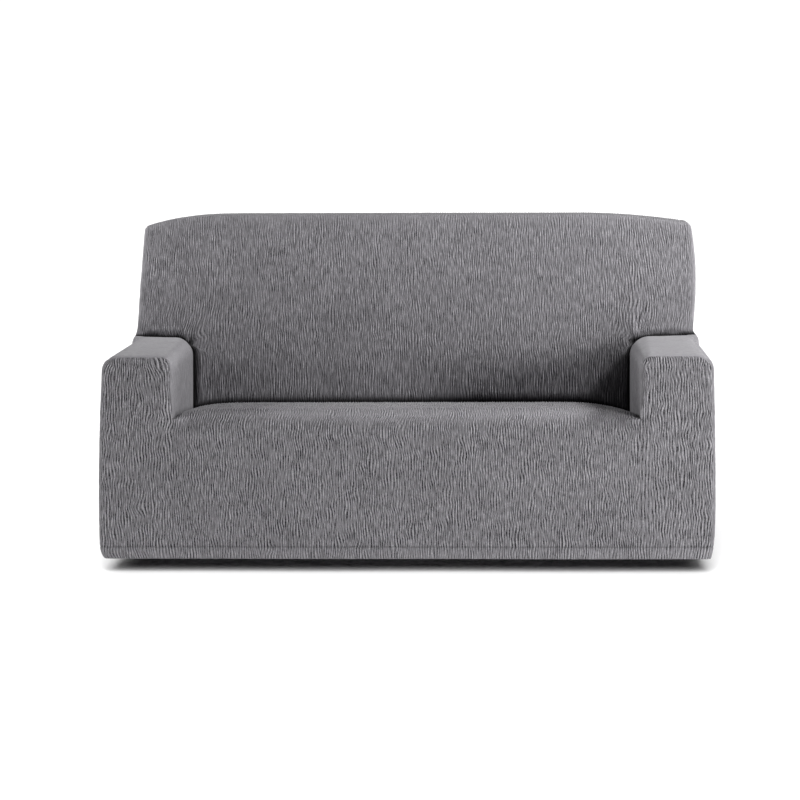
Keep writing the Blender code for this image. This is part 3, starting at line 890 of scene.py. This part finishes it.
def front_relief(u, v, w, s, t):
    """Ridges slant a little over the seat's soft edge, and turn into ribs at the right arm."""
    lean = SEAT_LEAN * np.exp(-(((t - 0.395) / 0.05) ** 2)) * (0.6 + 0.4 * np.cos(4.0 * u + 0.5))
    top_left = np.exp(-(((u + 0.705) / 0.045) ** 2)) * np.exp(-((ARM_TOP - w) / 0.05))
    top_left = np.where(w > SEAT_TOP, 0.55 * top_left, 0.0)
    shifted = s - lean * (t - 0.395) + top_left * 0.05
    ridge = crinkle(shifted, t, 11)
    ribs = ease((u - RIBS_FROM) / 0.010) * ease((RIBS_TO - u) / 0.012)
    ribs = ribs * ease((0.400 - w) / 0.03) * ease((w - 0.045) / 0.04) * (v < 0.01)
    rib = np.cos(2.0 * math.pi * (u - RIBS_FROM + 0.004 * np.sin(9.0 * w)) / RIB_PITCH)
    ridge = ridge + (rib - ridge) * 0.6 * ribs
    # a paler band over the seat's soft front edge, where the cloth is stretched and where painted
    # light from above falls
    stretch_and_painted_light = 0.45 * np.exp(-(((t - 0.43) / 0.05) ** 2)) * (np.abs(u) < ARM_IN)
    folds = creased(u, w, FRONT_CREASES) * (v < 0.02)
    to_back = BACK_FRONT - TUCK_GAP - v
    to_arm = ARM_IN - TUCK_GAP - np.abs(u) + 0.02 * ease((TUCK_START - v) / TUCK_START)
    to_tuck = np.maximum(np.minimum(to_back, to_arm), 0.0)
    on_top = (w > SEAT_TOP - 0.001) & (np.abs(u) < ARM_IN - NEAR)
    folds = folds - SEAT_TUCK_IN * fade(to_tuck, 0.02) * on_top
    # painted shade on the seat where it goes into its tucks
    return ridge, folds, stretch_and_painted_light, fade(to_tuck, 0.008) * on_top


seat_cloth = knit_material("grey_knit_seat", SEAT_GROOVE, SEAT_RIDGE, SEAT_OPEN_AND_LIT)
seat_front = make_panel(
    "seat_front_cloth", "seat_front", steps=((0.0020, 0.018), (0.020, 0.020), (0.0070, 0.018)),
    cloth_run=front_run, relief=front_relief, material=seat_cloth,
)
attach(seat_front, "root")
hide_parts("seat_front")


# ------------------------------------------------------------------------------
# Arm sleeves: one length of knit over each arm, from the hem outside, over the top and down the
# inner side to the tuck beside the seat. Its ridges run that way too, so seen from the front they
# close up and the cloth looks smooth.
# ------------------------------------------------------------------------------

# Tones of the sleeves' knit: in the grooves, darkened with painted shade; on the ridges; and where it
# is stretched open and where light from above is painted on
SLEEVE_GROOVE = (0.100, 0.096, 0.104)
SLEEVE_RIDGE = (0.300, 0.293, 0.309)
SLEEVE_OPEN_AND_LIT = (0.350, 0.342, 0.361)

# How far the sleeve rounds down into its tuck at the back
ARM_TUCK_IN = 0.004


def sleeve_run(u, v, w):
    """The ridges run up the arm's outer side, over its top and down its inner side."""
    across = np.abs(u)
    inside = across < ARM_IN + NEAR
    over = ARM_TOP + (ARM_OUT - across)
    up_and_over = np.where(w < ARM_TOP - NEAR, w + (ARM_OUT - across), over)
    return v, np.where(inside, over + (ARM_TOP - w), up_and_over)


def sleeve_relief(u, v, w, s, t):
    """Drawn nearly smooth inside and on top, and crinkled outside."""
    outside = ease((np.abs(u) - ARM_IN - 0.14) / 0.05)
    # paler on top, where the cloth is stretched over the arm and where painted light from above falls
    on_top = fade(ARM_TOP - w, 0.06) * (1.0 - 0.5 * outside)
    ridge = (0.30 + 0.45 * outside) * crinkle(s, t, 13)
    to_back = np.maximum(BACK_FRONT - TUCK_GAP - v, 0.0)
    facing_in = fade(np.maximum(np.abs(u) - 0.79, 0.0), 0.035)
    folds = -ARM_TUCK_IN * fade(to_back, 0.018) * facing_in
    # painted shade where the sleeve goes into its tuck at the back
    return ridge, folds, 0.75 * on_top, fade(to_back, 0.008) * facing_in


sleeve_cloth = knit_material("grey_knit_sleeve", SLEEVE_GROOVE, SLEEVE_RIDGE, SLEEVE_OPEN_AND_LIT)
for end in ("left", "right"):
    sleeve = make_panel(
        f"arm_sleeve_cloth_{end}", f"arm_sleeve_{end}",
        steps=((0.0070, 0.018), (0.0024, 0.018), (0.0080, 0.018)),
        cloth_run=sleeve_run, relief=sleeve_relief, material=sleeve_cloth, mirror=end,
    )
    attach(sleeve, "root")
    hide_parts(f"arm_sleeve_{end}")


# ------------------------------------------------------------------------------
# Arm fronts: an upright facing of the same knit on each arm. It is sewn to the sleeve round the
# arm's edge, and to the seat's front beside it.
# ------------------------------------------------------------------------------

facing_cloth = knit_material("grey_knit_facing", SEAT_GROOVE, SEAT_RIDGE, SEAT_OPEN_AND_LIT)
for end in ("left", "right"):
    facing = make_panel(
        f"arm_front_cloth_{end}", f"arm_front_{end}",
        steps=((0.0020, 0.014), (0.1, 0.1), (0.0066, 0.016)),
        cloth_run=front_run, relief=front_relief, material=facing_cloth, mirror=end,
    )
    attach(facing, "root")
    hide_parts(f"arm_front_{end}")


# ------------------------------------------------------------------------------
# Hem stitching: one row of short straight stitches of grey thread, all round the cover, which
# holds the turned-up hem.
# ------------------------------------------------------------------------------

STITCH_SPACING = 0.0048
STITCH_LENGTH = 0.0036
STITCH_WIDTH = 0.0013


def hem_path():
    """Points of the row of stitching, once round the cover, on the outer side of its cloth."""
    across = np.linspace(-ARM_OUT, ARM_OUT, 421)
    deep = np.linspace(0.0, BACK_REAR, 216)
    right, left = np.full(len(deep), ARM_OUT), np.full(len(deep), -ARM_OUT)
    front, rear = np.zeros(len(across)), np.full(len(across), BACK_REAR)
    u = np.concatenate([across, right, across[::-1], left])
    v = np.concatenate([front, deep, rear, deep[::-1]])
    points = form(u, v, np.full(len(u), HEM_STITCH))
    points = points[np.linalg.norm(points - np.roll(points, 1, axis=0), axis=1) > NEAR]
    run = np.roll(points, -1, axis=0) - np.roll(points, 1, axis=0)
    outwards = unit(np.cross(run, (0.0, 0.0, 1.0)))
    return points + (0.2 * STITCH_WIDTH - HEM_GROOVE) * outwards + HANG


def stitch_tree(thread):
    """Stitches along a path: one bead for each, laid along it, all a little different."""
    tree = bpy.data.node_groups.new("hem_stitching", "GeometryNodeTree")
    tree.interface.new_socket("Path", in_out="INPUT", socket_type="NodeSocketGeometry")
    for title in ("Spacing", "Stitch length", "Stitch width"):
        tree.interface.new_socket(title, in_out="INPUT", socket_type="NodeSocketFloat")
    tree.interface.new_socket("Stitches", in_out="OUTPUT", socket_type="NodeSocketGeometry")
    given, made = tree.nodes.new("NodeGroupInput"), tree.nodes.new("NodeGroupOutput")

    def add(kind, **inputs):
        node = tree.nodes.new(kind)
        for key, value in inputs.items():
            socket = node.inputs[key.replace("_", " ")]
            if isinstance(value, bpy.types.NodeSocket):
                tree.links.new(value, socket)
            else:
                socket.default_value = value
        return node

    path = add("GeometryNodeMeshToCurve", Mesh=given.outputs["Path"])
    places = add("GeometryNodeCurveToPoints", Curve=path.outputs["Curve"])
    places.mode = "LENGTH"
    tree.links.new(given.outputs["Spacing"], places.inputs["Length"])
    bead = add("GeometryNodeMeshUVSphere", Segments=6, Rings=4, Radius=0.5)
    size = add("ShaderNodeCombineXYZ", X=given.outputs["Stitch width"],
               Y=given.outputs["Stitch width"], Z=given.outputs["Stitch length"])
    uneven = add("FunctionNodeRandomValue", Seed=5)
    uneven.data_type = "FLOAT"
    uneven.inputs[2].default_value = 0.85
    uneven.inputs[3].default_value = 1.15
    sized = tree.nodes.new("ShaderNodeVectorMath")
    sized.operation = "SCALE"
    tree.links.new(size.outputs["Vector"], sized.inputs[0])
    tree.links.new(uneven.outputs[1], sized.inputs["Scale"])
    row = add("GeometryNodeInstanceOnPoints", Points=places.outputs["Points"],
              Instance=bead.outputs["Mesh"], Rotation=places.outputs["Rotation"],
              Scale=sized.outputs["Vector"])
    real = add("GeometryNodeRealizeInstances", Geometry=row.outputs["Instances"])
    threaded = add("GeometryNodeSetMaterial", Geometry=real.outputs["Geometry"], Material=thread)
    tree.links.new(threaded.outputs["Geometry"], made.inputs["Stitches"])
    return tree


def thread_material():
    """Spun grey thread, with painted shade between its fibres, where its bump is low."""
    material = bpy.data.materials.new("grey_thread")
    material.use_nodes = True
    nodes, links = material.node_tree.nodes, material.node_tree.links
    shader = nodes["Principled BSDF"]
    place = nodes.new("ShaderNodeTexCoord")
    fibres = nodes.new("ShaderNodeTexNoise")
    fibres.inputs["Scale"].default_value = 1800.0
    links.new(place.outputs["Object"], fibres.inputs["Vector"])
    tone = nodes.new("ShaderNodeMix")
    tone.data_type = "RGBA"
    tone.inputs[6].default_value = (0.07, 0.068, 0.072, 1.0)
    tone.inputs[7].default_value = (0.20, 0.195, 0.205, 1.0)
    links.new(fibres.outputs["Fac"], tone.inputs["Factor"])
    links.new(tone.outputs[2], shader.inputs["Base Color"])
    bump = nodes.new("ShaderNodeBump")
    bump.inputs["Distance"].default_value = 0.0002
    links.new(fibres.outputs["Fac"], bump.inputs["Height"])
    links.new(bump.outputs["Normal"], shader.inputs["Normal"])
    shader.inputs["Roughness"].default_value = 0.8
    return material


route = hem_path()
path_mesh = bpy.data.meshes.new("hem_path")
joins = [(index, (index + 1) % len(route)) for index in range(len(route))]
path_mesh.from_pydata(route, joins, [])
path = placed("hem_path", path_mesh)
sewing = path.modifiers.new("hem_stitching", "NODES")
sewing.node_group = stitch_tree(thread_material())
sizes = {"Spacing": STITCH_SPACING, "Stitch length": STITCH_LENGTH, "Stitch width": STITCH_WIDTH}
for socket in sewing.node_group.interface.items_tree:
    if socket.name in sizes:
        sewing[socket.identifier] = sizes[socket.name]
sewn_path = path.evaluated_get(bpy.context.evaluated_depsgraph_get())
sewn_mesh = bpy.data.meshes.new_from_object(sewn_path)
bpy.data.objects.remove(path)
sewn_mesh.shade_smooth()
hem_stitches = placed("hem_stitches", sewn_mesh)
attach(hem_stitches, "root")


# ------------------------------------------------------------------------------
# Studio: a white floor and backdrop, plain soft light and the camera. The softboxes light the
# cover only, and the two suns the floor only.
# ------------------------------------------------------------------------------

FLOOR_BELOW_HEM = 0.046

floor_mesh = bpy.data.meshes.new("studio_floor")
floor_level = HANG[2] - FLOOR_BELOW_HEM
floor_mesh.from_pydata(
    [(-30.0, -30.0, floor_level), (30.0, -30.0, floor_level), (30.0, 30.0, floor_level),
     (-30.0, 30.0, floor_level)], [], [(0, 1, 2, 3)],
)
paper = bpy.data.materials.new("studio_paper")
paper.use_nodes = True
matt = paper.node_tree.nodes["Principled BSDF"]
matt.inputs["Base Color"].default_value = (0.95, 0.95, 0.95, 1.0)
matt.inputs["Roughness"].default_value = 1.0
matt.inputs["Specular IOR Level"].default_value = 0.0
floor_mesh.materials.append(paper)
floor = placed("studio_floor", floor_mesh)

# The backdrop is white to the camera, and gives next to no light
world = bpy.data.worlds.new("studio")
world.use_nodes = True
studio_nodes, studio_links = world.node_tree.nodes, world.node_tree.links
dim = studio_nodes["Background"]
dim.inputs["Color"].default_value = (1.0, 1.0, 1.0, 1.0)
dim.inputs["Strength"].default_value = 0.03
bright = studio_nodes.new("ShaderNodeBackground")
bright.inputs["Color"].default_value = (1.0, 1.0, 1.0, 1.0)
bright.inputs["Strength"].default_value = 1.1
ray = studio_nodes.new("ShaderNodeLightPath")
backdrop = studio_nodes.new("ShaderNodeMixShader")
studio_links.new(ray.outputs["Is Camera Ray"], backdrop.inputs["Fac"])
studio_links.new(dim.outputs["Background"], backdrop.inputs[1])
studio_links.new(bright.outputs["Background"], backdrop.inputs[2])
studio_links.new(backdrop.outputs["Shader"], studio_nodes["World Output"].inputs["Surface"])
bpy.context.scene.world = world

on_cover = bpy.data.collections.new("lit_by_lamps")
on_floor = bpy.data.collections.new("lit_from_above")
for piece in bpy.context.scene.collection.objects:
    if piece.type == "MESH":
        (on_floor if piece == floor else on_cover).objects.link(piece)


def lamp(name, data, towards, place, lit):
    """A lamp at a place, shining in a direction, on the pieces of one collection."""
    light = placed(name, data)
    light.location = place
    light.rotation_euler = towards.to_track_quat("-Z", "Y").to_euler()
    light.light_linking.receiver_collection = lit
    light.visible_camera = False


def softbox(name, azimuth, height_angle, distance, size, brightness):
    """A round softbox round the cover: azimuth 0 is the front, 90 the right."""
    turn, rise = math.radians(azimuth), math.radians(height_angle)
    away = Vector((math.sin(turn) * math.cos(rise), -math.cos(turn) * math.cos(rise), math.sin(rise)))
    data = bpy.data.lights.new(name, "AREA")
    data.shape = "DISK"
    data.size = size
    data.energy = brightness * (math.pi * distance) ** 2
    middle = Vector(HANG) + Vector((0.0, 0.3, 0.5))
    lamp(name, data, -away, middle + distance * away, on_cover)


softbox("softbox_right_high", 88.0, 40.0, distance=4.0, size=1.0, brightness=0.875)
softbox("softbox_right_low", 50.0, 8.0, distance=3.5, size=0.7, brightness=0.46)
softbox("softbox_left", -93.0, 22.0, distance=3.5, size=1.0, brightness=0.60)

overhead = bpy.data.lights.new("overhead", "SUN")
overhead.energy = 1.4
overhead.angle = math.radians(110.0)
lamp("overhead", overhead, Vector((0.0, 0.0, -1.0)), Vector((0.0, 0.0, 3.0)), on_floor)

# from the front, so that the dark strip of floor under the hem stays narrow
skimming = bpy.data.lights.new("skimming", "SUN")
skimming.energy = 5.4
skimming.angle = math.radians(30.0)
lamp("skimming", skimming, Vector((0.0, 1.0, -0.60)), Vector((0.0, -3.0, 1.0)), on_floor)

# Fitted to the photo: place from the middle of the hem's front, turns in radians, lens in mm
CAMERA_PLACE = (0.29, -6.85, 1.24)
CAMERA_TURN = 0.0448
CAMERA_DOWN = 0.1158
CAMERA_ROLL = -0.0067
CAMERA_LENS = 113.2

ahead = Vector((
    -math.sin(CAMERA_TURN) * math.cos(CAMERA_DOWN), math.cos(CAMERA_TURN) * math.cos(CAMERA_DOWN),
    -math.sin(CAMERA_DOWN),
))
level = Vector((math.cos(CAMERA_TURN), math.sin(CAMERA_TURN), 0.0))
upright = level.cross(ahead)
right = math.cos(CAMERA_ROLL) * level + math.sin(CAMERA_ROLL) * upright
top = math.cos(CAMERA_ROLL) * upright - math.sin(CAMERA_ROLL) * level
camera_data = bpy.data.cameras.new("camera")
camera_data.lens = CAMERA_LENS
camera_data.sensor_width = 36.0
camera_data.clip_end = 100.0
camera = placed("camera", camera_data)
turned = Matrix((right, top, -ahead)).transposed().to_4x4()
camera.matrix_world = Matrix.Translation(Vector(CAMERA_PLACE) + Vector(HANG)) @ turned
bpy.context.scene.camera = camera
bpy.context.scene.view_settings.view_transform = "Standard"
